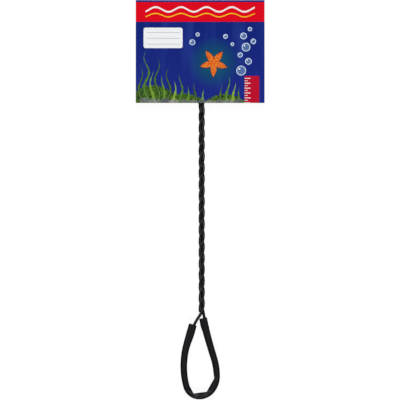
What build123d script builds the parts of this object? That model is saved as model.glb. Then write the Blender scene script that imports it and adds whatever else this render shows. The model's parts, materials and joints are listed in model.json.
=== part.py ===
from build123d import *
import math
import os

# A small aquarium net, lying flat in the folded header card that it is sold in.
# Frame: millimetres, X across the card, Y from the hand loop to the card's fold, Z up from the table.
# The origin is on the table, under the middle of the whole.

# PVC-coated steel wire
wire_diameter = 3.0
core_diameter = 2.2

# Handle: three strands of that wire, laid up right-handed
strand_count = 3
strand_gap = 0.1
lay_length = 34.85
lay_turns = 6
first_strand_angle = 30.0  # about the handle's axis, from the top towards +X, at both ends of the twist
quarter_steps = 4  # biarcs in one turn of a strand

# Strand ends that are cut off, past the ends of the twist
cut_end_at_neck = 2.2
cut_end_at_loop = 2.6  # short enough to clear the wire that crosses over it

# Hoop, sizes over the wire
hoop_width = 125.0
hoop_height = 96.0
hoop_top_corner = 20.0
hoop_bottom_corner = 28.0
neck_bend = 11.0

# Hem: woven tape folded round the hoop and sewn to the net along an inner flange
hem_slack = 0.15
hem_tape = 0.65
hem_flange_reach = 7.0
hem_flange_thickness = 1.2
hem_start = 3.0

# Bag of nylon net, folded flat inside the hoop
bag_gap = 0.05
bag_cloth = 0.6
bag_shoulder = 4.0
bag_shoulder_rise = 3.7
bag_slope_rise = 0.8
bag_slope_reach = 18.0
bag_least_corner = 6.0

# Sleeve: loose PVC tube on the hand loop, oval where it bends and kinked in on to the wire at three places
sleeve_diameter = 8.0
sleeve_wall = 0.8
sleeve_bend_squeeze = 1.5
sleeve_kink_places = (0.433, 0.528, 0.641)  # shares of the way round from the left end
sleeve_kink_spread = 0.018
sleeve_kink_clearance = 0.1
sleeve_sections = 49
sleeve_mouth_clearance = 0.3

# Hand loop: stations of its centreline from the foot of the twist, each x, y and heading in degrees
loop_left_end = (-9.1, -15.8, -108.7)
loop_left_side = (-18.4, -59.3, -90.0)
loop_bottom = (-2.5, -89.35, 0.0)
loop_right_side = (15.4, -68.9, 90.0)
loop_right_limb = (7.0, -31.6, 105.7)
loop_right_end = (1.4, -9.2, 103.3)
loop_cross_heading = -118.0
loop_entry_heading = -114.0
loop_wire_height = 4.2
loop_wire_outset = 0.45  # the wire lies this far outside the sleeve's middle

# Header card: back panel, spine and front panel of one board, hinged at two scored folds
board = 0.45
fold_gap = 0.02
handle_clearance = 0.26
hem_clearance = 0.45
spine_clearance = 1.25
card_side_margin = 2.7
card_edge_above_neck = 2.5
card_offset = 1.6  # the handle's axis lies this far to the right of the card's middle

# Sizes that follow
wire_radius = wire_diameter / 2
lay_radius = (wire_diameter + strand_gap) / (2 * math.sin(math.pi / strand_count))
bundle_radius = lay_radius + wire_radius
climb = lay_length / (2 * math.pi)
twist_length = lay_length * lay_turns
hem_bore = wire_radius + hem_slack
hem_radius = hem_bore + hem_tape

handle_x = card_offset
handle_z = board + handle_clearance + bundle_radius
card_depth = 2 * handle_z
hoop_z = board + hem_clearance + hem_radius

hoop_rise = hoop_height - wire_diameter
hoop_half = (hoop_width - wire_diameter) / 2
card_half = hoop_half + hem_radius + card_side_margin
above_neck = neck_bend + hoop_rise + hem_radius + spine_clearance + board
sleeve_bottom_half = (sleeve_diameter - sleeve_bend_squeeze) / 2
below_neck = twist_length - loop_bottom[1] + sleeve_bottom_half

neck_y = (below_neck - above_neck) / 2
foot_y = neck_y - twist_length
hoop_bottom_y = neck_y + neck_bend
hoop_top_y = hoop_bottom_y + hoop_rise
card_top_y = neck_y + above_neck
card_bottom_y = neck_y + card_edge_above_neck


def biarc(start, leave, end, arrive):
    """Edges of two tangent arcs from start, leaving along leave, to end, arriving along arrive."""
    chord = end - start
    both = leave + arrive
    spread = 2 * (1 - leave.dot(arrive))
    if spread < 1e-9:
        reach = chord.dot(chord) / (2 * chord.dot(both))
    else:
        lean = chord.dot(both)
        reach = (math.sqrt(lean * lean + spread * chord.dot(chord)) - lean) / spread
    first_pole = start + leave * reach
    second_pole = end - arrive * reach
    middle = (first_pole + second_pole) * 0.5
    across = (second_pole - first_pole).normalized()
    return [arc_or_line(start, leave, middle), arc_or_line(middle, across, end)]


def arc_or_line(start, leave, end):
    """The edge from start to end that leaves along leave."""
    if leave.cross(end - start).length < 1e-6:
        return Edge.make_line(start, end)
    return Edge.make_tangent_arc(start, leave, end)


def path_through(stations):
    """The smooth path through stations, each a point and a heading."""
    edges = []
    for (start, leave), (end, arrive) in zip(stations, stations[1:]):
        run = end - start
        straight = leave.cross(run).length < 1e-6 and arrive.cross(run).length < 1e-6
        edges += [Edge.make_line(start, end)] if straight else biarc(start, leave, end, arrive)
    return Wire(edges)


def reverse(stations):
    """The same stations, passed the other way."""
    return [(point, -heading) for point, heading in reversed(stations)]


def flat_heading(degrees):
    """The level unit vector at that angle from +X."""
    return Vector(math.cos(math.radians(degrees)), math.sin(math.radians(degrees)), 0)


def strand_station(angle_at_foot, y):
    """Where a strand of the twist is at y, heading towards the hoop."""
    turn = math.radians(angle_at_foot) + (y - foot_y) / climb
    side, top = math.sin(turn), math.cos(turn)
    point = Vector(handle_x + lay_radius * side, y, handle_z + lay_radius * top)
    heading = Vector(lay_radius * top, climb, -lay_radius * side).normalized()
    return point, heading


def strand_stations(angle_at_foot, low_y, high_y):
    """Stations along a strand, a quarter of a turn apart or less."""
    count = math.ceil((high_y - low_y) / lay_length * quarter_steps)
    places = [low_y + (high_y - low_y) * i / count for i in range(count + 1)]
    return [strand_station(angle_at_foot, y) for y in places]


def wire_along(path):
    """Steel core and PVC coating of the wire along a path."""
    start = Plane(origin=path @ 0, z_dir=path % 0)
    core_round = start * Circle(core_diameter / 2)
    coat_round = start * Circle(wire_radius)
    core = sweep(core_round, path=path)
    coat = sweep(coat_round - core_round, path=path)
    return core, coat


def loop_point(station, z):
    """A station of the hand loop in the part's frame, at height z."""
    x, y, degrees = station
    return Vector(handle_x + x, foot_y + y, z), flat_heading(degrees)


def outward(heading):
    """Level direction away from the inside of the hand loop, which lies to the left of its heading."""
    return Vector(heading.Y, -heading.X, 0)


def hoop_ring_stations():
    """The hoop without its neck, from the left of the neck clockwise round to the right of it."""
    left, right = handle_x - hoop_half, handle_x + hoop_half
    inner = lay_radius + neck_bend
    low, high = hoop_bottom_y, hoop_top_y
    places = [
        (handle_x - inner, low, 180),
        (left + hoop_bottom_corner, low, 180),
        (left, low + hoop_bottom_corner, 90),
        (left, high - hoop_top_corner, 90),
        (left + hoop_top_corner, high, 0),
        (right - hoop_top_corner, high, 0),
        (right, high - hoop_top_corner, -90),
        (right, low + hoop_bottom_corner, -90),
        (right - hoop_bottom_corner, low, 180),
        (handle_x + inner, low, 180),
    ]
    return [(Vector(x, y, hoop_z), flat_heading(degrees)) for x, y, degrees in places]


def make_wires():
    """The one wire, as three strands, the hoop that joins two of them and the hand loop that joins two."""
    front, back, left = [first_strand_angle + 360 / strand_count * i for i in range(strand_count)]
    strands = {
        "strand_1": strand_stations(front, foot_y, neck_y + cut_end_at_neck),
        "strand_2": strand_stations(back, foot_y, neck_y),
        "strand_3": strand_stations(left, foot_y - cut_end_at_loop, neck_y),
    }
    hoop = [strand_station(left, neck_y)] + hoop_ring_stations() + reverse([strand_station(back, neck_y)])

    # The front strand runs on to the top of the twist and off to the left, and the back one straight on to the
    # right. Each lies against the right wall of the sleeve's mouth.
    to_top = foot_y - lay_length * first_strand_angle / 360
    shift = sleeve_diameter / 2 - sleeve_wall - wire_radius - sleeve_mouth_clearance
    left_mouth, inward = loop_point(loop_left_end, loop_wire_height)
    left_mouth -= outward(inward) * shift
    right_mouth, homeward = loop_point(loop_right_end, loop_wire_height)
    right_mouth += outward(homeward) * shift
    top = strand_station(front, to_top)[0]
    hand_loop = reverse([strand_station(front, foot_y)])
    hand_loop += [(top, flat_heading(loop_cross_heading)), (left_mouth, flat_heading(loop_entry_heading))]
    for station in (loop_left_side, loop_bottom, loop_right_side, loop_right_limb):
        point, heading = loop_point(station, loop_wire_height)
        hand_loop += [(point + outward(heading) * loop_wire_outset, heading)]
    hand_loop += [(right_mouth, homeward), strand_station(back, foot_y)]

    parts = {}
    for name, stations in {**strands, "hoop": hoop, "hand_loop": hand_loop}.items():
        core, coat = wire_along(path_through(stations))
        parts[name + "_core"] = core
        parts[name + "_coating"] = coat
    return parts


def make_hem_band():
    """Tape tube round the hoop wire, with its sewn flange towards the inside."""
    stations = hoop_ring_stations()
    (first, away), (last, towards) = stations[0], stations[-1]
    stations[0] = (first + away * hem_start, away)
    stations[-1] = (last - towards * hem_start, towards)
    path = path_through(stations)
    start = Plane(origin=path @ 0, x_dir=(0, 1, 0), z_dir=path % 0)
    flange = Pos(hem_flange_reach / 2, 0) * Rectangle(hem_flange_reach, hem_flange_thickness)
    return sweep(start * (Circle(hem_radius) + flange - Circle(hem_bore)), path=path)


def bag_outline(inset, z):
    """The hoop's outline drawn in by inset, at height z."""
    middle = (hoop_bottom_y + hoop_top_y) / 2
    sheet = Rectangle(2 * (hoop_half - inset), hoop_rise - 2 * inset)
    by_height = sheet.vertices().sort_by(Axis.Y)
    sheet = fillet(by_height[:2], max(hoop_bottom_corner - inset, bag_least_corner))
    by_height = sheet.vertices().sort_by(Axis.Y)
    sheet = fillet(by_height[-2:], max(hoop_top_corner - inset, bag_least_corner))
    return Pos(handle_x, middle, z) * sheet


def make_bag():
    """The folded bag: a shallow wall that rises from the hem, and the toe that closes it."""
    mouth = hem_flange_reach + bag_gap
    shoulder = mouth + bag_shoulder
    toe = shoulder + bag_slope_reach
    low = hoop_z - hem_flange_thickness / 2
    shoulder_z = low + bag_shoulder_rise
    high = shoulder_z + bag_slope_rise
    levels = [(mouth, low), (shoulder, shoulder_z), (toe, high)]
    over = loft([bag_outline(inset, z) for inset, z in levels], ruled=True)
    shell = over - Pos(0, 0, -bag_cloth) * over
    core = extrude(bag_outline(toe, low), high - low)
    cut = extrude(bag_outline(toe - bag_gap, low), high - low)
    return {"bag_wall": shell - cut, "bag_toe": shell & core}


def sleeve_squeeze(share):
    """How much the sleeve narrows in the loop's plane at that share of its way: by its bend, and by a kink."""
    bend = sleeve_bend_squeeze * math.sin(math.pi * share) ** 0.8
    wire_inside = wire_radius - loop_wire_outset
    room = (sleeve_diameter - bend) / 2 - sleeve_wall - wire_inside - sleeve_kink_clearance
    nearest = min(abs(share - place) for place in sleeve_kink_places)
    return bend, room * math.exp(-((nearest / sleeve_kink_spread) ** 2))


def make_sleeve():
    """The tube on the hand loop, on the table: narrower and so taller at the bend, kinked on its inner side."""
    stations = (loop_left_end, loop_left_side, loop_bottom, loop_right_side, loop_right_limb, loop_right_end)
    path = path_through([loop_point(station, 0) for station in stations])
    outside, inside = [], []
    for i in range(sleeve_sections):
        share = i / (sleeve_sections - 1)
        heading = path % share
        bend, kink = sleeve_squeeze(share)
        width = sleeve_diameter - bend - kink
        height = sleeve_diameter + (bend + kink) / 2
        centre = path @ share + outward(heading) * (kink / 2) + Vector(0, 0, height / 2)
        across = Plane(origin=centre, x_dir=outward(heading), z_dir=heading)
        outside += [across * Ellipse(width / 2, height / 2)]
        inside += [across * Ellipse(width / 2 - sleeve_wall, height / 2 - sleeve_wall)]
    return loft(outside) - loft(inside)


def make_card():
    """Back panel, spine and front panel, mitred where the board is scored and folded."""
    top, low = card_top_y, card_bottom_y
    inner = top - board
    outlines = {
        "card_back": [(low, 0), (top - fold_gap, 0), (inner - fold_gap, board), (low, board)],
        "card_spine": [
            (top, fold_gap),
            (top, card_depth - fold_gap),
            (inner, card_depth - board - fold_gap),
            (inner, board + fold_gap),
        ],
        "card_front": [
            (low, card_depth),
            (top - fold_gap, card_depth),
            (inner - fold_gap, card_depth - board),
            (low, card_depth - board),
        ],
    }
    side = Plane(origin=(-card_half, 0, 0), x_dir=(0, 1, 0), z_dir=(1, 0, 0))
    return {
        name: extrude(side * Polygon(*points, align=None), 2 * card_half, dir=(1, 0, 0))
        for name, points in outlines.items()
    }


def main():
    os.makedirs("parts", exist_ok=True)
    parts = {
        **make_wires(),
        "hem_band": make_hem_band(),
        **make_bag(),
        "loop_sleeve": make_sleeve(),
        **make_card(),
    }
    for name, shape in parts.items():
        export_step(shape, f"parts/{name}.step")


if __name__ == "__main__":
    main()
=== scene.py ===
import cmath
import json
import math

import bpy
import numpy as np
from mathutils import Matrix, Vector


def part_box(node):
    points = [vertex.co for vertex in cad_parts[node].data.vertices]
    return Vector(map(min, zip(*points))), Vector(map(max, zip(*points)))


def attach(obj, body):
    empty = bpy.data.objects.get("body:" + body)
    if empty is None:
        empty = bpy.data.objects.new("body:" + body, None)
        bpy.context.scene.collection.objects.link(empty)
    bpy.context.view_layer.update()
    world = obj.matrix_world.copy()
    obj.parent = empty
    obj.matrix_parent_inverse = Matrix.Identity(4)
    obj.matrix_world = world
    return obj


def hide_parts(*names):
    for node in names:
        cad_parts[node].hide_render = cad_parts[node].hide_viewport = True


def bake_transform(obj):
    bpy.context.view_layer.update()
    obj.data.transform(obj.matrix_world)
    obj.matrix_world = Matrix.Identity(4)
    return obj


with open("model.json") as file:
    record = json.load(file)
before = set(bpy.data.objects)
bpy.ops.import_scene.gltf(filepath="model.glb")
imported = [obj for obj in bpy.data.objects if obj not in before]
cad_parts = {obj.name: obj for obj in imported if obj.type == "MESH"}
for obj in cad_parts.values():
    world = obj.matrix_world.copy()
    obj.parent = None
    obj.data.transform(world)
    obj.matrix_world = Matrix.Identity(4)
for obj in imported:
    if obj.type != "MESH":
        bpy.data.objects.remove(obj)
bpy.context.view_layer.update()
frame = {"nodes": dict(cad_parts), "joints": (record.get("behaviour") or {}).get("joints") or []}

# An aquarium net lying in its folded header card, seen from straight above.
# Lengths are in millimetres, in the frame's axes, and turn to metres where Blender takes them.
mm = 0.001
crisp_corner = 50.0  # degrees between faces
no_turn = 1e-9  # a turn too small to bend a path
noise_span = (0.3, 0.7)  # where most of a soft noise lies


def box_of(node_name):
    """Lowest and highest corner of a CAD node, in millimetres."""
    low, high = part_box(node_name)
    return low / mm, high / mm


# Header card
back_low, back_high = box_of("card_back")
front_low, front_high = box_of("card_front")
card_left, card_right = front_low.x, front_high.x
card_middle = (card_left + card_right) / 2
card_half = (card_right - card_left) / 2
card_bottom, card_top = front_low.y, box_of("card_spine")[1].y
panel_height = card_top - card_bottom
card_depth = front_high.z
board = back_high.z - back_low.z
fold_radius = 0.5  # of the middle of the board, at each crease
front_bow = 0.45  # the hoop inside pushes the front panel out
bow_profile = 0.75  # of a half wave, from the crease to the free edge
card_columns = 61
card_rows = (40, 9, 7)  # on the panel, round its crease and up the spine

# Hoop and hem, from the tape tube round the wire
hem_low, hem_high = box_of("hem_band")
hem_radius = (hem_high.z - hem_low.z) / 2
hoop_z = (hem_high.z + hem_low.z) / 2
hoop_left, hoop_right = hem_low.x + hem_radius, hem_high.x - hem_radius
hoop_low, hoop_high = hem_low.y + hem_radius, hem_high.y - hem_radius
hoop_x, hoop_y = (hoop_left + hoop_right) / 2, (hoop_low + hoop_high) / 2
hoop_top_corner = 20.0
hoop_bottom_corner = 28.0
hem_end = 15.8  # from the handle's axis to the tape's ends
hem_bore = 1.65
hem_rings = 520
hem_sides = 30
flange_reach = 7.0
flange_thickness = 1.2
flange_root = 0.5  # from the tube to the flange's first points
flange_ease = (0.25, 0.6)  # its edge starts to thin this far in, down to this share of its thickness
flange_steps = 8
pucker_waves = ((7.3, 0.0, 1.0), (4.1, 1.3, 0.6), (17.0, 0.4, 0.8))  # length, phase and share of each ripple
tube_pucker = 0.07
flange_pucker = 0.16
stitch_pitch = 3.0
stitch_length = 2.1
stitch_thread = 0.36
stitch_row = 5.3  # inwards from the wire
bead_sides, bead_rings = 8, 5

# Net bag, shaped as it hangs open and then pressed flat for the card
bag_rise = max(j["range_m"][1] for j in frame["joints"] if j["name"] == "bag_rise") / mm
toe_clear = 0.2
flat_low = hoop_z
flat_high = box_of("bag_toe")[1].z - toe_clear
bag_mouth_inset = 5.6
bag_least_corner = 6.0
toe_half = 31.0
toe_depth = 0.7
bag_fullness = (2.6, 0.62)  # the wall stays wide, then rounds in to the toe
bag_folds = (14, 0.035)  # soft upright folds round the bag, and how deep they are
net_mesh = 1.6  # half of a mesh, across: coarser than the real one, so that it shows
net_twine = 0.4
wall_steps = 2000  # round and down the open bag, to space the mesh evenly
press_steps = 400
binding_half = (0.95, 0.5)  # half width and half thickness of the binding on the bag's mouth
binding_pucker = 0.05
binding_rings = 300
binding_sides = 12
seam_radius = 0.65
seam_swell = 0.18  # of the radius, between its stitches
seam_start = 0.03  # of the bag's depth
seam_rings = (60, 40)  # down each side, and along the toe
seam_sides = 10

# Sleeve on the hand loop: its stations from the foot of the twist, x, y and heading in degrees
twist_foot = (1.6, -112.25)
loop_stations = (
    (-9.1, -15.8, -108.7),
    (-18.4, -59.3, -90.0),
    (-2.5, -89.35, 0.0),
    (15.4, -68.9, 90.0),
    (7.0, -31.6, 105.7),
    (1.4, -9.2, 103.3),
)
sleeve_diameter = 8.0
sleeve_wall = 0.8
sleeve_lip = 0.18  # rounding of its cut ends
sleeve_bend_squeeze = 1.5
sleeve_squeeze_onset = 0.8  # power of its rise, so that the tube is oval soon after its ends
sleeve_bulges = ((0.058, 9.0, 0.8), (0.96, 5.0, 0.6))  # share of the way round, run, depth on the inner side
sleeve_kinks = ((0.436, 1.45, 1.6), (0.528, 2.45, 1.0), (0.634, 2.5, 0.2))  # share, inner reach and weight of the painted highlight at the kink
sleeve_kink_span = (0.375, 0.70)  # between these shares the inner side is straight from kink to kink
sleeve_wire_side = 1.1  # the wall thins rather than cut into the wire, this far in from the middle line
sleeve_dents = (0.55, 1.7, 0.45)  # fold above and below each kink: depth, run, and spread in radians
sleeve_path_steps = 4001
sleeve_rings = 240
sleeve_sides = 40

# The photograph's frame, and the studio, whose lights are in metres and watts
picture_width = 410.3
picture_centre = (-0.15, -0.26)
picture_level = 5.0
lens = 250.0
sensor = 36.0
floor_size = 14.0  # metres
floor_drop = 0.3
soft_boxes = (
    ("far_box", (0.1, 1.62, 1.55), 0.8, 26.5),
    ("near_box", (-0.1, -1.68, 1.55), 0.8, 23.5),
    ("left_box", (-1.35, 0.25, 1.15), 0.6, 7.0),
    ("right_box", (1.35, -0.2, 1.15), 0.6, 5.5),
)  # name, place, size, power
sky_strength = 0.03


def colour(hex_code):
    """Linear RGBA of an sRGB hex colour."""
    parts = [int(hex_code[i:i + 2], 16) / 255 for i in (1, 3, 5)]
    linear = [c / 12.92 if c <= 0.04045 else ((c + 0.055) / 1.055) ** 2.4 for c in parts]
    return (*linear, 1.0)


def node(tree, kind, inputs=None, out=0, **settings):
    """Adds a node with its settings and its inputs, each a value or another node's output."""
    made = tree.nodes.new("ShaderNode" + kind)
    for name, value in settings.items():
        setattr(made, name, value)
    for socket, value in (inputs or {}).items():
        if isinstance(value, bpy.types.NodeSocket):
            tree.links.new(value, made.inputs[socket])
        else:
            made.inputs[socket].default_value = value
    return made.outputs[out] if made.outputs else made


def maths(tree, operation, *values):
    """One step of arithmetic on numbers."""
    return node(tree, "Math", dict(enumerate(values)), operation=operation)


def vectors(tree, operation, *values, out="Vector"):
    """One step of arithmetic on places."""
    return node(tree, "VectorMath", dict(enumerate(values)), out=out, operation=operation)


def axis(tree, place, index):
    """One coordinate of a place."""
    return node(tree, "SeparateXYZ", {0: place}, out=index)


def noise(tree, place, size, detail):
    """Soft noise with features of that size."""
    return node(tree, "TexNoise", {"Vector": place, "Scale": 1 / size, "Detail": detail})


def stretched_noise(tree, place, sizes, detail, slant=0.0):
    """Soft noise with features of another size along each axis, turned by slant in radians."""
    stretch = [1 / size for size in sizes]
    local = node(tree, "Mapping", {"Vector": place, "Rotation": (0.0, 0.0, slant), "Scale": stretch})
    return noise(tree, local, 1.0, detail)


def ramp(tree, value, low, high, start=0.0, end=1.0):
    """Runs from start to end while the value goes from low to high."""
    limits = {"From Min": low, "From Max": high, "To Min": start, "To Max": end}
    return node(tree, "MapRange", {"Value": value, **limits})


def mix(tree, share, first, second):
    """Two colours in that proportion, each a hex code or another node's output."""
    first, second = [colour(side) if isinstance(side, str) else side for side in (first, second)]
    return node(tree, "MixRGB", {0: share, 1: first, 2: second})


def relief(tree, height, strength, depth):
    """A bumpy surface, that deep in millimetres."""
    return node(tree, "Bump", {"Height": height, "Strength": strength, "Distance": depth * mm})


def new_material(name):
    """An empty node material."""
    material = bpy.data.materials.new(name)
    material.use_nodes = True
    material.node_tree.nodes.clear()
    return material, material.node_tree


def finished(material, tree, shader):
    """The material, with the shader of those inputs on its output."""
    node(tree, "OutputMaterial", {"Surface": node(tree, "BsdfPrincipled", shader)})
    return material


def pvc_coating():
    """Soft PVC extruded on to wire: black and satin, with a faint grain and duller patches from handling."""
    material, tree = new_material("extruded_pvc_coating")
    patch_size, grain_size = 5.0, 0.3
    place = node(tree, "TexCoord", out="Object")
    patches = noise(tree, place, patch_size * mm, detail=3.0)
    grain = noise(tree, place, grain_size * mm, detail=2.0)
    return finished(material, tree, {
        "Base Color": mix(tree, patches, "#060708", "#0f1012"),
        "Roughness": ramp(tree, patches, *noise_span, start=0.24, end=0.38),
        "Normal": relief(tree, grain, strength=0.2, depth=0.02),
        "IOR": 1.53,
        "Specular IOR Level": 0.38,
    })


def pvc_tube(kinks):
    """Soft PVC tubing: black and dull, with fine die lines, and pale blotches at its kinks: a painted
    highlight where the folded wall would catch the light.
    """
    material, tree = new_material("extruded_pvc_tube")
    line_spacing, line_run, patch_size, highlight_patch_size, highlight_reach = 0.45, 40.0, 7.0, 2.5, 6.0
    place = node(tree, "Attribute", out="Vector", attribute_name="sleeve_mm")
    lines = stretched_noise(tree, place, (line_spacing, line_spacing, line_run), detail=2.0)
    patches = noise(tree, place, patch_size, detail=3.0)
    highlight_patches = ramp(tree, noise(tree, place, highlight_patch_size, detail=1.0), 0.45, 0.62)
    inner_side = ramp(tree, axis(tree, place, 0), sleeve_diameter / 4, -sleeve_diameter / 4)
    black = mix(tree, patches, "#050609", "#0b0e13")
    for kink_place, highlight_weight in kinks:
        away = maths(tree, "ABSOLUTE", maths(tree, "SUBTRACT", axis(tree, place, 2), kink_place))
        near = ramp(tree, away, highlight_reach, 0.0, end=highlight_weight)
        kink_highlight = maths(tree, "MULTIPLY", near, inner_side)
        # painted highlight: grey blotches on the inner side near each kink, standing in for light caught by
        # the folded wall
        black = mix(tree, maths(tree, "MULTIPLY", kink_highlight, highlight_patches), black, "#565a61")
    return finished(material, tree, {
        "Base Color": black,
        "Roughness": ramp(tree, patches, *noise_span, start=0.46, end=0.6),
        "Normal": relief(tree, lines, strength=0.35, depth=0.06),
        "IOR": 1.53,
        "Specular IOR Level": 0.22,
    })


def steel_core():
    """Drawn mild-steel wire, sheared at its ends: grey, with fine drawing lines."""
    material, tree = new_material("drawn_steel")
    line_spacing = 0.15
    lines = noise(tree, node(tree, "TexCoord", out="Object"), line_spacing * mm, detail=2.0)
    return finished(material, tree, {
        "Base Color": mix(tree, lines, "#77777a", "#a2a3a5"),
        "Metallic": 1.0,
        "Roughness": 0.36,
        "Normal": relief(tree, lines, strength=0.3, depth=0.02),
    })


def woven_tape():
    """Plain-woven polyester tape: dull black, each yarn crowned where it passes over the next, with painted
    shade in the dips and a painted highlight on the crowns.
    """
    material, tree = new_material("woven_polyester_tape")
    yarn_spacing = 0.7
    place = node(tree, "Attribute", out="Vector", attribute_name="tape_mm")
    over = node(tree, "TexChecker", {"Vector": place, "Scale": 1 / yarn_spacing}, out="Fac")
    crowns = []
    for way in (0, 1):
        turn = maths(tree, "MULTIPLY", axis(tree, place, way), math.pi / yarn_spacing)
        crowns.append(maths(tree, "ABSOLUTE", maths(tree, "SINE", turn)))
    crown = mix(tree, over, *crowns)
    return finished(material, tree, {
        # painted shade and highlight: darker where the yarns dip, lighter on their crowns
        "Base Color": mix(tree, crown, "#07080a", "#1d1f23"),
        "Roughness": 0.86,
        "Normal": relief(tree, crown, strength=0.7, depth=0.12),
        "Sheen Weight": 0.25,
        "Sheen Roughness": 0.5,
    })


def nylon_twine(name, dark, light, twist_spacing):
    """Twisted nylon: black filaments with a soft lustre, and a painted highlight on the crowns of the twist.
    """
    material, tree = new_material(name)
    twist = noise(tree, node(tree, "TexCoord", out="Object"), twist_spacing * mm, detail=1.0)
    return finished(material, tree, {
        # painted highlight: lighter where the twist's crowns rise
        "Base Color": mix(tree, twist, dark, light),
        "Roughness": 0.46,
        "Normal": relief(tree, twist, strength=0.4, depth=0.05),
        "IOR": 1.53,
        "Sheen Weight": 0.15,
    })


def carton_inside():
    """Uncoated back of the carton: warm off-white, matt, flecked with short fibres, with painted shade along
    its scores.
    """
    material, tree = new_material("uncoated_carton")
    fibre_width, fibre_length, cloud_size, score_half, score_core = 0.35, 1.6, 14.0, 0.9, 0.3
    place = node(tree, "Attribute", out="Vector", attribute_name="card_mm")
    fibres = stretched_noise(tree, place, (fibre_length, fibre_width, 1.0), detail=3.0)
    pulp = mix(tree, noise(tree, place, cloud_size, detail=2.0), "#c9c3b4", "#dcd7ca")
    flecked = mix(tree, ramp(tree, fibres, 0.62, 0.78, end=0.5), pulp, "#9d9482")
    off_score = maths(tree, "SUBTRACT", axis(tree, place, 1), panel_height - fold_radius)
    # painted shade: a grey band down each score, where the fold's groove lies in shade
    score_shade = ramp(tree, maths(tree, "ABSOLUTE", off_score), score_half, score_core, end=0.7)
    return finished(material, tree, {
        "Base Color": mix(tree, score_shade, flecked, "#8d8676"),
        "Roughness": 0.92,
        "Normal": relief(tree, fibres, strength=0.25, depth=0.05),
        "Specular IOR Level": 0.25,
    })


def carton_edge():
    """Cut edge of the carton: pale layered pulp with a little blue ink drawn over it by the knife."""
    material, tree = new_material("cut_carton_edge")
    ply, ply_run, smear_size = 0.12, 1.2, 5.0
    place = node(tree, "TexCoord", out="Object")
    layers = stretched_noise(tree, place, (ply_run * mm, ply_run * mm, ply * mm), detail=2.0)
    pulp = mix(tree, layers, "#a9a59c", "#d6d2c8")
    ink = ramp(tree, noise(tree, place, smear_size * mm, detail=3.0), 0.4, 0.7, start=0.25, end=0.75)
    return finished(material, tree, {
        "Base Color": mix(tree, ink, pulp, "#3b4478"),
        "Roughness": 0.9,
        "Normal": relief(tree, layers, strength=0.4, depth=0.05),
        "Specular IOR Level": 0.25,
    })


# Print on the card, in millimetres from the middle of its lower edge
band_low, band_high = 83.0, 103.2
waves = (
    (95.6, 2.4, 26.0, 0.95, "#f4f1ee"),
    (89.8, 1.8, 26.0, 0.6, "#f7c21c"),
)  # height, swing, length, half width, ink
wave_half_span = 56.0
fronds = (
    (-61.0, 40.0, 2.6, 2.0, "#2c4a2a"), (-55.0, 54.0, 3.0, 2.6, "#3f6b2c"),
    (-49.5, 33.0, 2.4, 1.8, "#6f9a34"), (-44.0, 47.0, 2.8, 2.4, "#31552b"),
    (-38.0, 28.0, 2.5, 1.6, "#5b8a30"), (-32.5, 38.0, 2.6, 2.2, "#2c4a2a"),
    (-26.5, 23.0, 2.2, 1.5, "#86a83c"), (-20.0, 30.0, 2.4, 1.8, "#3f6b2c"),
    (-13.0, 17.0, 2.0, 1.2, "#5b8a30"), (-5.0, 22.0, 2.2, 1.4, "#2c4a2a"),
    (3.5, 14.0, 1.9, 1.0, "#6f9a34"), (22.0, 19.0, 2.1, 1.4, "#31552b"),
    (28.5, 28.0, 2.4, 1.8, "#4c7a2e"), (35.0, 21.0, 2.2, 1.5, "#86a83c"),
    (40.5, 16.0, 2.0, 1.2, "#3f6b2c"),
)  # root, height, half width at the root, sway, ink
frond_wave = 31.0
leaflet = 3.4
frond_fringe = (0.6, 0.5)  # of the half width: the whole blade, and the leaflets at its edge
rib_share = 0.16  # of the frond's width
rib_weight = 0.6
rib_ink = "#9dbb57"
pebbles = (
    (-57.0, 2.0, 5.2, 3.4, "#7d857c"), (-47.0, 1.2, 6.4, 3.0, "#9aa092"),
    (-36.0, 1.6, 4.6, 3.2, "#6b7370"), (-27.0, 1.0, 5.6, 2.6, "#aeb09f"),
    (-16.5, 1.2, 4.2, 2.4, "#7d857c"), (-7.5, 0.8, 5.0, 2.2, "#8f9488"),
    (2.0, 1.0, 4.0, 2.4, "#6b7370"), (10.5, 0.6, 5.2, 2.0, "#a3a697"),
    (20.0, 1.0, 4.4, 2.6, "#7d857c"), (29.0, 0.8, 5.4, 2.4, "#9aa092"),
    (38.5, 1.0, 4.4, 2.6, "#6b7370"),
)  # across, up, half width, half height, ink
moss_mounds = (
    (-46.0, -5.0, 27.0, 25.0),
    (-14.0, -6.0, 24.0, 18.0),
    (28.0, -6.0, 24.0, 17.0),
)  # across, up, half width, half height
star_middle = (14.0, 41.0)
star_reach = 14.5
star_arms = 5
star_waist = 0.3  # of the reach, between the arms
star_arm_shape = 0.8  # under 1 the arms are slim
star_tilt = 0.35
star_rim = 0.8
glow_reach, glow_core, glow_weight = 27.0, 8.1, 0.8  # round the star: its start, its core, its strength
bubbles = (
    (42.0, 33.0, 4.6), (49.5, 42.5, 3.0), (41.0, 49.0, 2.2), (47.0, 57.0, 4.0), (54.5, 63.0, 2.4),
    (44.5, 68.5, 3.0), (51.0, 75.5, 1.8), (-8.0, 62.0, 2.6), (-2.5, 70.0, 1.7), (26.0, 68.0, 2.0),
    (33.0, 60.0, 1.4),
)  # across, up, radius
bubble_rim = 0.4
bubble_haze = 0.28
spark_offset = 0.38  # of the radius, up and to the left
spark_share = 0.2
label_middle = (-38.0, 66.5)
label_half = (20.0, 10.5)
label_corner = 2.2
rule_spacing = 6.0
rule_half = 0.18
rule_margin = 3.0
ruler_middle = (53.0, 12.0)
ruler_half = (7.5, 15.5)
ruler_corner = 1.0
ruler_ticks = ((5.0, 0.42, 6.0), (2.5, 0.28, 3.2))  # spacing, half width, length: the long, the short
tick_margin = 1.5
crease_wear = (0.9, 0.1, 0.55)  # from where to where below the crease the ink wears off, and how far


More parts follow.
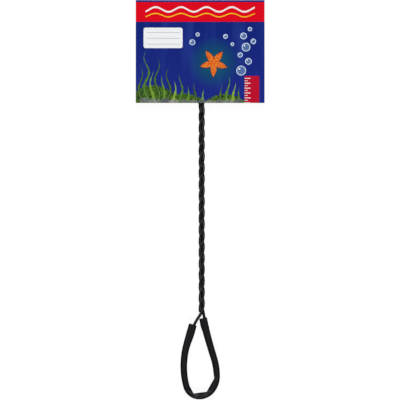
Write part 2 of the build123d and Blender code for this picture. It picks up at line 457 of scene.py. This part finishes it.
def frond_masks(tree, u, v, root, height, half, sway):
    """One water-plant frond from the card's lower edge, swaying, feathered and tapering, and its midrib."""
    blade_share, leaflet_share = frond_fringe
    phase = maths(tree, "MULTIPLY_ADD", v, 2 * math.pi / frond_wave, root)
    middle = maths(tree, "MULTIPLY_ADD", maths(tree, "SINE", phase), sway, root)
    away = maths(tree, "ABSOLUTE", maths(tree, "SUBTRACT", u, middle))
    feather = maths(tree, "PINGPONG", v, leaflet)
    fringe = maths(tree, "MULTIPLY_ADD", feather, leaflet_share * half / leaflet, blade_share * half)
    taper = maths(tree, "MULTIPLY_ADD", v, -1 / height, 1.0)
    edge = maths(tree, "MULTIPLY", fringe, taper)
    rib_edge = maths(tree, "MULTIPLY", edge, rib_share)
    return maths(tree, "LESS_THAN", away, edge), maths(tree, "LESS_THAN", away, rib_edge)


def oval_mask(tree, place, across, up, half, rise):
    """One oval, for a pebble or a mound of moss."""
    shift = (-across / half, -up / rise, 0.0)
    local = node(tree, "Mapping", {"Vector": place, "Location": shift, "Scale": (1 / half, 1 / rise, 0.0)})
    return maths(tree, "LESS_THAN", vectors(tree, "LENGTH", local, out="Value"), 1.0)


def panel_mask(tree, place, middle, half, corner):
    """A rectangle with rounded corners."""
    off = vectors(tree, "ABSOLUTE", vectors(tree, "SUBTRACT", place, (*middle, 0.0)))
    past = vectors(tree, "SUBTRACT", off, (half[0] - corner, half[1] - corner, 0.0))
    beyond = vectors(tree, "MAXIMUM", past, (0.0, 0.0, 0.0))
    return maths(tree, "LESS_THAN", vectors(tree, "LENGTH", beyond, out="Value"), corner)


def stripe_mask(tree, way, spacing, half):
    """Lines of that half width, a spacing apart."""
    return maths(tree, "LESS_THAN", maths(tree, "PINGPONG", way, spacing / 2), half)


def wave_mask(tree, u, v, height, swing, length, half):
    """One water line across the band."""
    wave = maths(tree, "SINE", maths(tree, "MULTIPLY", u, 2 * math.pi / length))
    middle = maths(tree, "MULTIPLY_ADD", wave, swing, height)
    away = maths(tree, "ABSOLUTE", maths(tree, "SUBTRACT", v, middle))
    line = maths(tree, "LESS_THAN", away, half)
    ends = maths(tree, "LESS_THAN", maths(tree, "ABSOLUTE", u), wave_half_span)
    return maths(tree, "MULTIPLY", line, ends)


def star_masks(tree, place):
    """A sea star, the same star larger by its rim, and the distance from its middle."""
    local = vectors(tree, "SUBTRACT", place, (*star_middle, 0.0))
    away = vectors(tree, "LENGTH", local, out="Value")
    angle = maths(tree, "ARCTAN2", axis(tree, local, 1), axis(tree, local, 0))
    turned = maths(tree, "ADD", angle, star_tilt)
    off_arm = maths(tree, "PINGPONG", turned, math.pi / star_arms)
    off_share = maths(tree, "MULTIPLY", off_arm, star_arms / math.pi)
    round_off = maths(tree, "POWER", off_share, star_arm_shape)
    outline = maths(tree, "MULTIPLY_ADD", round_off, star_reach * (star_waist - 1), star_reach)
    wider = maths(tree, "ADD", outline, star_rim)
    return maths(tree, "LESS_THAN", away, outline), maths(tree, "LESS_THAN", away, wider), away


def bubble_masks(tree, place):
    """The rims of all the bubbles, their discs, and the bright spot in each."""
    rims, discs, sparks = 0.0, 0.0, 0.0
    for across, up, radius in bubbles:
        away = vectors(tree, "DISTANCE", place, (across, up, 0.0), out="Value")
        ring = maths(tree, "ABSOLUTE", maths(tree, "SUBTRACT", away, radius))
        glint = (across - spark_offset * radius, up + spark_offset * radius, 0.0)
        glint_away = vectors(tree, "DISTANCE", place, glint, out="Value")
        rims = maths(tree, "MAXIMUM", rims, maths(tree, "LESS_THAN", ring, bubble_rim))
        discs = maths(tree, "MAXIMUM", discs, maths(tree, "LESS_THAN", away, radius))
        sparks = maths(tree, "MAXIMUM", sparks, maths(tree, "LESS_THAN", glint_away, spark_share * radius))
    return rims, discs, sparks


def sea_layers(tree, place, u, v):
    """Masks and inks of the print's sea bed, back to front: glow, moss, fronds, pebbles, star, bubbles."""
    tuft_size, knob_size = 2.4, 1.4
    star, star_edge, star_away = star_masks(tree, place)
    rims, discs, sparks = bubble_masks(tree, place)
    tuft_light = ramp(tree, noise(tree, place, tuft_size, detail=4.0), 0.35, 0.68)
    moss = mix(tree, tuft_light, "#1f2f1a", "#5f8a24")
    tangle = node(tree, "TexNoise", {"Vector": place, "Scale": 1 / tuft_size}, out="Color")
    ragged = node(tree, "VectorMath", {0: tangle, "Scale": 2 * tuft_size}, operation="SCALE")
    moss_place = vectors(tree, "ADD", place, ragged)
    layers = [(ramp(tree, star_away, glow_reach, glow_core, end=glow_weight), "#0c5a66")]
    layers += [(oval_mask(tree, moss_place, *mound), moss) for mound in moss_mounds]
    for *shape, ink in fronds:
        blade, rib = frond_masks(tree, u, v, *shape)
        layers += [(blade, ink), (maths(tree, "MULTIPLY", rib, rib_weight), rib_ink)]
    for *shape, ink in pebbles:
        layers.append((oval_mask(tree, place, *shape), mix(tree, tuft_light, ink, "#4f5552")))
    knob_light = ramp(tree, noise(tree, place, knob_size, detail=1.0), 0.45, 0.6)
    star_skin = mix(tree, knob_light, "#dc4a17", "#f59a3a")
    haze = maths(tree, "MULTIPLY", discs, bubble_haze)
    layers += [(star_edge, "#7e2410"), (star, star_skin)]
    layers += [(haze, "#9cc4ee"), (rims, "#d5e6f6"), (sparks, "#f4f9ff")]
    return layers


def panel_layers(tree, place, u, v):
    """Masks and inks of the print's blank ruled label, its ruler, and the top band with two water lines."""
    rules = stripe_mask(tree, v, rule_spacing, rule_half)
    ruled_half = (label_half[0] - rule_margin, label_half[1] - rule_margin)
    ruled = panel_mask(tree, place, label_middle, ruled_half, rule_half)
    layers = [
        (panel_mask(tree, place, label_middle, label_half, label_corner), "#f8f9fa"),
        (maths(tree, "MULTIPLY", rules, ruled), "#8b93a6"),
        (panel_mask(tree, place, ruler_middle, ruler_half, ruler_corner), "#c2102f"),
    ]
    for spacing, half, length in ruler_ticks:
        ticks = stripe_mask(tree, v, spacing, half)
        middle = (ruler_middle[0] - ruler_half[0] + length / 2, ruler_middle[1])
        ticked = panel_mask(tree, place, middle, (length / 2, ruler_half[1] - tick_margin), half)
        layers.append((maths(tree, "MULTIPLY", ticks, ticked), "#f2f2f2"))
    above = maths(tree, "GREATER_THAN", v, band_low)
    below = maths(tree, "LESS_THAN", v, band_high)
    layers.append((maths(tree, "MULTIPLY", above, below), "#e4041e"))
    layers += [(wave_mask(tree, u, v, *shape), ink) for *shape, ink in waves]
    return layers


def printed_carton():
    """Offset ink under varnish on carton: even flat colour, a soft gloss, pale fibre along the creases."""
    material, tree = new_material("printed_carton")
    shaft_width, shaft_length, shaft_slant, mottle_size, fibre_size = 16.0, 90.0, 0.35, 1.2, 0.4
    place = node(tree, "Attribute", out="Vector", attribute_name="card_mm")
    u, v = axis(tree, place, 0), axis(tree, place, 1)
    ground = mix(tree, ramp(tree, v, 0.0, band_low), "#1e2b89", "#0f2479")
    shafts = stretched_noise(tree, place, (shaft_width, shaft_length, 1.0), detail=1.0, slant=shaft_slant)
    paint = mix(tree, ramp(tree, shafts, 0.5, 0.75, end=0.22), ground, "#3f5fc0")

    fibres = noise(tree, place, fibre_size, detail=3.0)
    wear_start, wear_end, wear = crease_wear
    crease = ramp(tree, v, panel_height - wear_start, panel_height - wear_end, end=wear)
    layers = sea_layers(tree, place, u, v) + panel_layers(tree, place, u, v)
    layers.append((maths(tree, "MULTIPLY", fibres, crease), "#8fa3c4"))
    for mask, ink in layers:
        paint = mix(tree, mask, paint, ink)

    mottle = noise(tree, place, mottle_size, detail=2.0)
    shade = ramp(tree, mottle, *noise_span, start=0.94, end=1.05)
    return finished(material, tree, {
        "Base Color": node(tree, "VectorMath", {0: paint, "Scale": shade}, operation="SCALE"),
        "Roughness": ramp(tree, mottle, *noise_span, start=0.18, end=0.25),
        "Normal": relief(tree, fibres, strength=0.12, depth=0.03),
        "IOR": 1.47,
    })


def light_table():
    """Opal acrylic lit from below: an even white that swallows most of the shadow."""
    material, tree = new_material("backlit_opal_acrylic")
    cloud_size = 60.0
    clouds = noise(tree, node(tree, "TexCoord", out="Object"), cloud_size * mm, detail=2.0)
    return finished(material, tree, {
        "Base Color": mix(tree, clouds, "#5b5b5b", "#616161"),
        "Roughness": 0.9,
        "Specular IOR Level": 0.1,
        "Emission Color": colour("#ffffff"),
        "Emission Strength": 0.91,
    })


def new_piece(name, points, faces, materials, face_materials=None):
    """A smooth mesh object from points in millimetres, crisp where its faces meet at a corner."""
    mesh = bpy.data.meshes.new(name)
    mesh.from_pydata((np.asarray(points) * mm).tolist(), [], faces)
    for material in materials:
        mesh.materials.append(material)
    mesh.polygons.foreach_set("use_smooth", [True] * len(faces))
    if face_materials is not None:
        mesh.polygons.foreach_set("material_index", face_materials)
    mesh.update()
    mesh.set_sharp_from_angle(angle=math.radians(crisp_corner))
    piece = bpy.data.objects.new(name, mesh)
    bpy.context.scene.collection.objects.link(piece)
    return piece


def keep_places(piece, name, places):
    """Stores a place for each vertex, for a pattern that stays on the piece as it bends."""
    layer = piece.data.attributes.new(name, "FLOAT_VECTOR", "POINT")
    layer.data.foreach_set("vector", np.asarray(places, np.float32).ravel())


def grid_places(across, along):
    """A place for each vertex of a grid, from its rows along and its columns across."""
    places = np.zeros((len(along), len(across), 3))
    places[:, :, 0] = across
    places[:, :, 1] = along[:, None]
    return places.reshape(-1, 3)


def lifted(flat, level):
    """Points in space from complex points of the table and their heights."""
    return np.stack(np.broadcast_arrays(flat.real, flat.imag, level), -1)


def run_along(steps):
    """How far along a path each of its points is, from the lengths of its steps."""
    return np.concatenate([[0], np.cumsum(steps)])


def arc(start, leave, end, steps=40):
    """Points of the arc from start to end, as complex numbers, that leaves along leave."""
    turn = cmath.phase((end - start) / leave)
    share = np.linspace(0, 1, steps)
    reach = share if abs(turn) < no_turn else np.sin(share * turn) / math.sin(turn)
    return start + abs(end - start) * reach * leave * np.exp(1j * share * turn)


def path_through(stations, count):
    """Even points, headings and length of the path of tangent arcs through stations of x, y and degrees."""
    pieces = []
    for (x0, y0, from_degrees), (x1, y1, to_degrees) in zip(stations, stations[1:]):
        start, end = complex(x0, y0), complex(x1, y1)
        leave, arrive = cmath.rect(1, math.radians(from_degrees)), cmath.rect(1, math.radians(to_degrees))
        chord, both = end - start, leave + arrive
        lean = (chord * both.conjugate()).real
        spread = 2 * (1 - (leave * arrive.conjugate()).real)
        if spread < no_turn:
            reach = abs(chord) ** 2 / (2 * lean)
        else:
            reach = (math.sqrt(lean ** 2 + spread * abs(chord) ** 2) - lean) / spread
        first, second = start + leave * reach, end - arrive * reach
        middle, across = (first + second) / 2, (second - first) / abs(second - first)
        pieces += [arc(start, leave, middle)[:-1], arc(middle, across, end)[:-1]]
    line = np.concatenate(pieces + [[complex(*stations[-1][:2])]])
    run = run_along(np.abs(np.diff(line)))
    places = np.linspace(0, run[-1], count)
    points = np.interp(places, run, line.real) + 1j * np.interp(places, run, line.imag)
    headings = np.gradient(points)
    return points, headings / np.abs(headings), run[-1]


def ring_faces(rings, around, first=0, turned=False):
    """Quads between closed rings of vertices that follow one another."""
    faces = []
    for i in range(rings - 1):
        for j in range(around):
            a, b = first + i * around + j, first + i * around + (j + 1) % around
            face = (a, b, b + around, a + around)
            faces.append(face[::-1] if turned else face)
    return faces


def tube_faces(rings, around):
    """Quads of an open tube, from its outer rings and then as many of its bore, walled at both ends."""
    inside = rings * around
    faces = ring_faces(rings, around, turned=True) + ring_faces(rings, around, first=inside)
    for end, turned in ((0, False), (rings - 1, True)):
        for j in range(around):
            a, b = end * around + j, end * around + (j + 1) % around
            face = (a, b, b + inside, a + inside)
            faces.append(face[::-1] if turned else face)
    return faces


def sleeve_reaches(shares, points, outwards, length):
    """How far the sleeve reaches out and in from its middle line, and how high, at each share of its way."""
    kink_shares, kink_reach, _ = zip(*sleeve_kinks)
    bend = sleeve_bend_squeeze * np.sin(np.pi * shares) ** sleeve_squeeze_onset
    outer = (sleeve_diameter - bend) / 2
    inner = outer.copy()
    for place, bulge_run, depth in sleeve_bulges:
        inner += depth * np.exp(-((shares - place) * length / bulge_run) ** 2)
    corner_shares = (sleeve_kink_span[0], *kink_shares, sleeve_kink_span[1])
    corners = [int(np.argmin(np.abs(shares - share))) for share in corner_shares]
    reaches = (inner[corners[0]], *kink_reach, inner[corners[-1]])
    for i, j, reach, next_reach in zip(corners, corners[1:], reaches, reaches[1:]):
        corner = points[i] - outwards[i] * reach
        run = points[j] - outwards[j] * next_reach - corner
        span = slice(i, j + 1)
        inner[span] = (np.conj(corner - points[span]) * run).imag / (np.conj(-outwards[span]) * run).imag
    pinch = np.maximum(outer - inner, 0)
    height = np.minimum(sleeve_diameter + (bend + pinch) / 2, box_of("loop_sleeve")[1].z)
    return outer, inner, height


def make_sleeve():
    """PVC tube round the hand loop: its outer side smooth, its inner side straight from kink to kink."""
    stations = [(twist_foot[0] + x, twist_foot[1] + y, degrees) for x, y, degrees in loop_stations]
    fine_points, fine_headings, length = path_through(stations, sleeve_path_steps)
    kink_shares = [share for share, _, _ in sleeve_kinks]
    shares = np.unique(np.concatenate([np.linspace(0, 1, sleeve_rings), kink_shares]))
    nearest = np.searchsorted(np.linspace(0, 1, sleeve_path_steps), shares).clip(0, sleeve_path_steps - 1)
    points, outwards = fine_points[nearest], fine_headings[nearest] * -1j
    outer, inner, height = sleeve_reaches(shares, points, outwards, length)
    angles = np.linspace(0, 2 * np.pi, sleeve_sides, endpoint=False)
    across, up = np.cos(angles), np.sin(angles)
    dent_depth, dent_run, dent_spread = sleeve_dents
    dent_place = np.exp(-((np.abs(angles - np.pi) - np.pi / 3) / dent_spread) ** 2)

    def ring(i, wall, least_reach):
        """The tube's section at a share, that far in from its outside."""
        near_kink = max(math.exp(-((shares[i] - share) * length / dent_run) ** 2) for share in kink_shares)
        dent = dent_depth * near_kink * dent_place
        sides = np.where(across > 0, outer[i] - wall, max(inner[i] - wall, least_reach)) * across
        level = height[i] / 2 + (height[i] / 2 - wall - dent) * up
        return lifted(points[i] + outwards[i] * sides, level)

    count = len(shares)
    lips = [sleeve_lip if i in (0, count - 1) else 0 for i in range(count)]
    rings = [ring(i, lip, 0) for i, lip in enumerate(lips)]
    rings += [ring(i, sleeve_wall - lip, sleeve_wire_side) for i, lip in enumerate(lips)]
    tube = pvc_tube([(share * length, highlight_weight) for share, _, highlight_weight in sleeve_kinks])
    sleeve = new_piece("sleeve_tube", np.concatenate(rings), tube_faces(count, sleeve_sides), [tube])
    round_section = (across + 1j * up) * sleeve_diameter / 2
    places = [lifted(round_section, share * length) for share in shares]
    keep_places(sleeve, "sleeve_mm", np.concatenate(places + places))
    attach(sleeve, "net")
    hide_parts("loop_sleeve")


def card_leaf(name, panel_z, lift, turned, materials):
    """Half of the folded card: one panel and the half of the spine that joins it, with a rounded crease."""
    mid_z = card_depth / 2
    side = 1 if panel_z < mid_z else -1
    crease_y = card_top - board / 2 - fold_radius
    spine_start = panel_z + side * fold_radius
    panel_rows, crease_rows, spine_rows = card_rows
    rows = [(y, panel_z, 0.0, -side) for y in np.linspace(card_bottom, crease_y, panel_rows)]
    for a in np.linspace(0, np.pi / 2, crease_rows)[1:]:
        y = crease_y + fold_radius * math.sin(a)
        z = panel_z + side * fold_radius * (1 - math.cos(a))
        rows.append((y, z, math.sin(a), -side * math.cos(a)))
    for share in np.linspace(0, 1, spine_rows)[1:]:
        rows.append((card_top - board / 2, spine_start + (mid_z - spine_start) * share, 1.0, 0.0))
    row_y, row_z, out_y, out_z = np.array(rows).T
    columns = np.linspace(card_left, card_right, card_columns)
    away = np.clip((crease_y - row_y) / (crease_y - card_bottom), 0, 1)[:, None]
    middle = 1 - ((columns - card_middle) / card_half) ** 2
    bow = lift * middle * np.sin(np.pi * bow_profile * away)

    def sheet(offset):
        """One face of the board, that far out from its middle."""
        grid = np.zeros((len(rows), card_columns, 3))
        grid[:, :, 0] = columns
        grid[:, :, 1] = (row_y + out_y * offset)[:, None]
        grid[:, :, 2] = (row_z + out_z * offset)[:, None] + bow
        return grid.reshape(-1, 3)

    points = np.concatenate([sheet(board / 2), sheet(-board / 2)])
    wide, tall = card_columns, len(rows)
    inside = wide * tall
    printed, uncoated, cut = range(len(materials))
    faces, kinds = [], []
    for i in range(tall - 1):
        for j in range(wide - 1):
            a = i * wide + j
            quad = (a, a + 1, a + wide + 1, a + wide)
            under = tuple(p + inside for p in quad)
            faces += [quad[::-1], under] if turned else [quad, under[::-1]]
            kinds += [printed, uncoated]
    rim = list(range(wide))
    rim += [i * wide + wide - 1 for i in range(1, tall)]
    rim += [(tall - 1) * wide + j for j in range(wide - 2, -1, -1)]
    rim += [i * wide for i in range(tall - 2, 0, -1)]
    for a, b in zip(rim, rim[1:] + rim[:1]):
        quad = (a, a + inside, b + inside, b)
        faces.append(quad[::-1] if turned else quad)
        kinds.append(cut)
    leaf = new_piece(name, points, faces, materials, kinds)
    run = run_along(np.hypot(np.diff(row_y), np.diff(row_z)))
    places = grid_places((columns - card_middle) * -side, run)
    keep_places(leaf, "card_mm", np.concatenate([places] * 2))
    return leaf


def make_card():
    """The printed carton folded over the net, as two leaves with a rounded crease each."""
    materials = [printed_carton(), carton_inside(), carton_edge()]
    back = card_leaf("card_back_leaf", board / 2, 0.0, True, materials)
    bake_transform(back)
    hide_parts("card_back")
    front = card_leaf("card_front_leaf", card_depth - board / 2, front_bow, False, materials)
    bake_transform(front)
    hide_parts("card_front", "card_spine")


def hoop_path(inset, gap, count):
    """The hoop's outline drawn in by inset, clockwise from a gap left of the handle's axis to one right."""
    left, right, low, high = hoop_left + inset, hoop_right - inset, hoop_low + inset, hoop_high - inset
    under = max(hoop_bottom_corner - inset, bag_least_corner)
    over = max(hoop_top_corner - inset, bag_least_corner)
    stations = [
        (hoop_x - gap, low, 180), (left + under, low, 180), (left, low + under, 90), (left, high - over, 90),
        (left + over, high, 0), (right - over, high, 0), (right, high - over, -90), (right, low + under, -90),
        (right - under, low, 180), (hoop_x + gap, low, 180),
    ]
    return path_through(stations, count)


def ripple(run):
    """Puckers of sewn tape along its run."""
    return sum(share * np.sin(2 * np.pi * run / length + phase) for length, phase, share in pucker_waves)


def hem_lie():
    """Points, headings and runs along the hem, and how far its flange's edge sways up at each."""
    points, headings, length = hoop_path(0, hem_end, hem_rings)
    run = np.linspace(0, length, hem_rings)
    return points, headings, run, flange_pucker * ripple(run + stitch_pitch)


def hem_section():
    """Outline of the folded tape, inwards and up from the wire: a tube, then the flange where it is sewn."""
    half = flange_thickness / 2
    meet = math.asin(half / hem_radius)
    angles = np.linspace(meet, 2 * np.pi - meet, hem_sides)
    tube = np.stack([np.cos(angles), np.sin(angles)], 1) * hem_radius
    ease, edge_share = flange_ease
    reach = np.linspace(hem_radius + flange_root, flange_reach - ease, flange_steps)
    under = np.stack([reach, np.full(flange_steps, -half)], 1)
    tip = np.array([(flange_reach, -edge_share * half), (flange_reach, edge_share * half)])
    over = under[::-1] * (1, -1)
    return np.concatenate([tube, under, tip, over])


def make_hem(tape):
    """Woven tape folded round the hoop wire, and puckered by its stitching."""
    points, headings, run, sway = hem_lie()
    inwards = headings * -1j
    section = hem_section()
    around = len(section)
    bore = section / np.linalg.norm(section, axis=1)[:, None] * hem_bore
    share = np.clip((section[:, 0] - hem_radius) / (flange_reach - hem_radius), 0, 1)
    swell = 1 + tube_pucker * ripple(run) / hem_radius
    outer, inner = [], []
    for i in range(hem_rings):
        shape = np.where(share[:, None] > 0, section, section * swell[i])
        level = hoop_z + shape[:, 1] + sway[i] * share ** 2
        outer.append(lifted(points[i] + inwards[i] * shape[:, 0], level))
        inner.append(lifted(points[i] + inwards[i] * bore[:, 0], hoop_z + bore[:, 1]))
    faces = tube_faces(hem_rings, around)
    hem = new_piece("hem_tape", np.concatenate(outer + inner), faces, [tape])
    places = grid_places(run_along(np.linalg.norm(np.diff(section, axis=0), axis=1)), run)
    keep_places(hem, "tape_mm", np.concatenate([places] * 2))
    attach(hem, "net")
    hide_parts("hem_band")


def stitch_bead():
    """A bead one millimetre across, its faces wound for a stitch's mirrored frame: along, inwards, up."""
    turns = np.exp(2j * np.pi * np.arange(bead_sides) / bead_sides) / 2
    slopes = np.linspace(0, np.pi, bead_rings + 2)[1:-1]
    rings = [lifted(turns * math.sin(slope), math.cos(slope) / 2) for slope in slopes]
    points = np.concatenate(rings + [[(0, 0, 0.5), (0, 0, -0.5)]])
    faces = ring_faces(bead_rings, bead_sides)
    last, top = (bead_rings - 1) * bead_sides, bead_rings * bead_sides
    for j in range(bead_sides):
        k = (j + 1) % bead_sides
        faces += [(top, k, j), (top + 1, last + j, last + k)]
    return points, faces


def make_hem_stitching(thread):
    """Lockstitch row along the hem's flange, on both of its faces."""
    points, headings, run, sway = hem_lie()
    bead, bead_faces = stitch_bead()
    row_share = (stitch_row - hem_radius) / (flange_reach - hem_radius)
    stitches, faces = [], []
    for k in range(int(run[-1] / stitch_pitch) - 1):
        i = int(round((k + 1) * stitch_pitch / run[-1] * (hem_rings - 1)))
        along, inwards = headings[i], headings[i] * -1j
        flat = points[i] + along * bead[:, 0] * stitch_length
        flat = flat + inwards * (stitch_row + bead[:, 1] * stitch_thread)
        level = hoop_z + sway[i] * row_share ** 2 + bead[:, 2] * stitch_thread
        for face in (1, -1):
            shift = len(stitches) * len(bead)
            stitches.append(lifted(flat, level + face * flange_thickness / 2))
            faces += [tuple(p + shift for p in f) for f in bead_faces]
    row = new_piece("hem_stitching", np.concatenate(stitches), faces, [thread])
    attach(row, "net")


def make_mouth_binding(tape):
    """Narrow binding along the bag's mouth, held in the hem and bare across the gap at the handle."""
    points, headings, length = hoop_path(bag_mouth_inset, 0, binding_rings + 1)
    angles = np.linspace(0, 2 * np.pi, binding_sides, endpoint=False)
    swell = 1 + binding_pucker * ripple(np.linspace(0, length, binding_rings + 1))
    half_width, half_thickness = binding_half
    rings = []
    for point, heading, size in zip(points[:-1], headings, swell):
        flat = point + heading * -1j * half_width * size * np.cos(angles)
        rings.append(lifted(flat, hoop_z + half_thickness * np.sin(angles)))
    faces = ring_faces(binding_rings, binding_sides, turned=True)
    last = (binding_rings - 1) * binding_sides
    for j in range(binding_sides):
        k = (j + 1) % binding_sides
        faces.append((j, k, last + k, last + j))
    binding = new_piece("mouth_binding", np.concatenate(rings), faces, [tape])
    places = grid_places(angles * half_width, np.linspace(0, length, binding_rings))
    keep_places(binding, "tape_mm", places)
    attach(binding, "net")


def pressed_flat(heights):
    """Heights in the open bag, brought to where they lie while the card is shut."""
    rest = np.linspace(flat_low, flat_high, press_steps)
    share = (rest - flat_low) / (flat_high - flat_low)
    opened = rest + bag_rise * share ** 2 * (3 - 2 * share)
    return np.interp(heights, opened, rest)


def bag_shape(mouth, depth):
    """Points of the open bag: mouth is a point of its rim, depth goes from 0 there to 1 at the toe seam."""
    wide, full = bag_fullness
    round_in = (1 - depth ** wide) ** full
    mouth_half = hoop_right - bag_mouth_inset - hoop_x
    mouth_deep = hoop_high - bag_mouth_inset - hoop_y
    across = toe_half / mouth_half + (1 - toe_half / mouth_half) * round_in
    over = toe_depth / mouth_deep + (1 - toe_depth / mouth_deep) * round_in
    folds, fold_depth = bag_folds
    bearing = np.arctan2(mouth.imag - hoop_y, mouth.real - hoop_x)
    drape = 1 - fold_depth * np.sin(np.pi * depth) * np.sin(folds * bearing) ** 2
    x = hoop_x + (mouth.real - hoop_x) * across * drape
    y = hoop_y + (mouth.imag - hoop_y) * over * drape
    z = flat_low + (flat_high - flat_low + bag_rise) * depth
    return np.stack(np.broadcast_arrays(x, y, z), -1)


def net_piece(twine):
    """Diamond mesh over the open bag, with a twine along each side of its diamonds."""
    girth = hoop_path(bag_mouth_inset, 0, wall_steps)[2]
    columns = 2 * round(girth / net_mesh / 2)
    mouth = hoop_path(bag_mouth_inset, 0, columns + 1)[0][:-1]
    fine = np.linspace(0, 1, wall_steps)
    wall = bag_shape(np.array(complex(hoop_x, hoop_high - bag_mouth_inset)), fine)
    run = run_along(np.linalg.norm(np.diff(wall, axis=0), axis=1))
    rows = round(run[-1] / net_mesh)
    depths = np.interp(np.linspace(0, run[-1], rows + 1), run, fine)
    points = np.concatenate([bag_shape(mouth, depth) for depth in depths])
    faces = []
    for j in range(rows - 1):
        for i in range(j % 2, columns, 2):
            left, right = (i - 1) % columns, (i + 1) % columns
            knots = ((j, i), (j + 1, right), (j + 2, i), (j + 1, left))
            faces.append(tuple(row * columns + column for row, column in knots))
    net = new_piece("net_bag", points, faces, [twine])
    fibre = net.modifiers.new("twine", "WIREFRAME")
    fibre.thickness = net_twine * mm
    fibre.use_even_offset = False
    fibre.use_boundary = True
    made = bpy.data.meshes.new_from_object(net.evaluated_get(bpy.context.evaluated_depsgraph_get()))
    net.modifiers.clear()
    net.data = made
    return net


def seam_piece(thread):
    """Sewn seam down the open bag's sides and along its toe, swollen between its stitches."""
    side_rings, toe_rings = seam_rings
    depths = np.linspace(seam_start, 1, side_rings)
    left = bag_shape(np.array(complex(hoop_left + bag_mouth_inset, hoop_y)), depths)
    right = bag_shape(np.array(complex(hoop_right - bag_mouth_inset, hoop_y)), depths)
    toe = np.linspace(left[-1], right[-1], toe_rings)[1:-1]
    line = np.concatenate([left, toe, right[::-1]])
    ways = np.gradient(line, axis=0)
    ways /= np.linalg.norm(ways, axis=1)[:, None]
    sideways = np.array((0.0, 1.0, 0.0))
    angles = np.linspace(0, 2 * np.pi, seam_sides, endpoint=False)[:, None]
    swell = 1 + seam_swell * np.sin(np.arange(len(line)) * np.pi / 2)
    rings = []
    for point, upright, size in zip(line, np.cross(ways, sideways), swell):
        rings.append(point + seam_radius * size * (np.cos(angles) * sideways + np.sin(angles) * upright))
    faces = ring_faces(len(rings), seam_sides)
    last = (len(rings) - 1) * seam_sides
    faces += [tuple(range(seam_sides))[::-1], tuple(range(last, last + seam_sides))]
    return new_piece("bag_seam", np.concatenate(rings), faces, [thread])


def make_bag(twine, thread):
    """The net and its seam, shaped open and then pressed flat into the hoop."""
    net, seam = net_piece(twine), seam_piece(thread)
    for piece in (net, seam):
        places = np.array([v.co for v in piece.data.vertices]) / mm
        places[:, 2] = pressed_flat(places[:, 2])
        piece.data.vertices.foreach_set("co", (places * mm).ravel())
        piece.data.update()
        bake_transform(piece)
    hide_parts("bag_wall", "bag_toe")


def dress_wires():
    """The one wire's pieces keep their CAD shapes and take their finishes."""
    coat, core = pvc_coating(), steel_core()
    for name, piece in frame["nodes"].items():
        if name.endswith(("_coating", "_core")):
            piece.data.materials.clear()
            piece.data.materials.append(coat if name.endswith("_coating") else core)


def soft_box(name, place, size, power):
    """A square studio light aimed at the net."""
    light = bpy.data.lights.new(name, "AREA")
    light.shape = "SQUARE"
    light.size = size
    light.energy = power
    lamp = bpy.data.objects.new(name, light)
    lamp.location = place
    lamp.rotation_mode = "QUATERNION"
    lamp.rotation_quaternion = (-Vector(place)).to_track_quat("-Z", "Y")
    lamp.visible_camera = False
    bpy.context.scene.collection.objects.link(lamp)


def make_studio():
    """White floor, soft light from the sides so that dark plastic keeps depth, and the camera overhead."""
    half = floor_size / 2
    corners = np.array([(-half, -half), (half, -half), (half, half), (-half, half)]) / mm
    points = [(x, y, -floor_drop) for x, y in corners]
    floor = new_piece("floor", points, [(0, 1, 2, 3)], [light_table()])
    floor.visible_glossy = False
    for light in soft_boxes:
        soft_box(*light)

    world = bpy.data.worlds.new("studio")
    world.use_nodes = True
    sky = world.node_tree.nodes["Background"]
    sky.inputs["Color"].default_value = colour("#ffffff")
    sky.inputs["Strength"].default_value = sky_strength
    bpy.context.scene.world = world
    bpy.context.scene.view_settings.view_transform = "Standard"

    camera = bpy.data.cameras.new("overhead")
    camera.sensor_width = sensor
    camera.lens = lens
    camera.clip_end = 100.0
    stand = bpy.data.objects.new("overhead", camera)
    distance = lens * picture_width / sensor
    stand.location = Vector((*picture_centre, picture_level + distance)) * mm
    bpy.context.scene.collection.objects.link(stand)
    bpy.context.scene.camera = stand


make_studio()
dress_wires()
make_sleeve()
make_card()
sewing_thread = nylon_twine("polyester_thread", "#191b1e", "#3d4147", 0.25)
tape = woven_tape()
make_hem(tape)
make_hem_stitching(sewing_thread)
make_mouth_binding(tape)
make_bag(nylon_twine("nylon_net", "#101214", "#26292c", 0.4), sewing_thread)
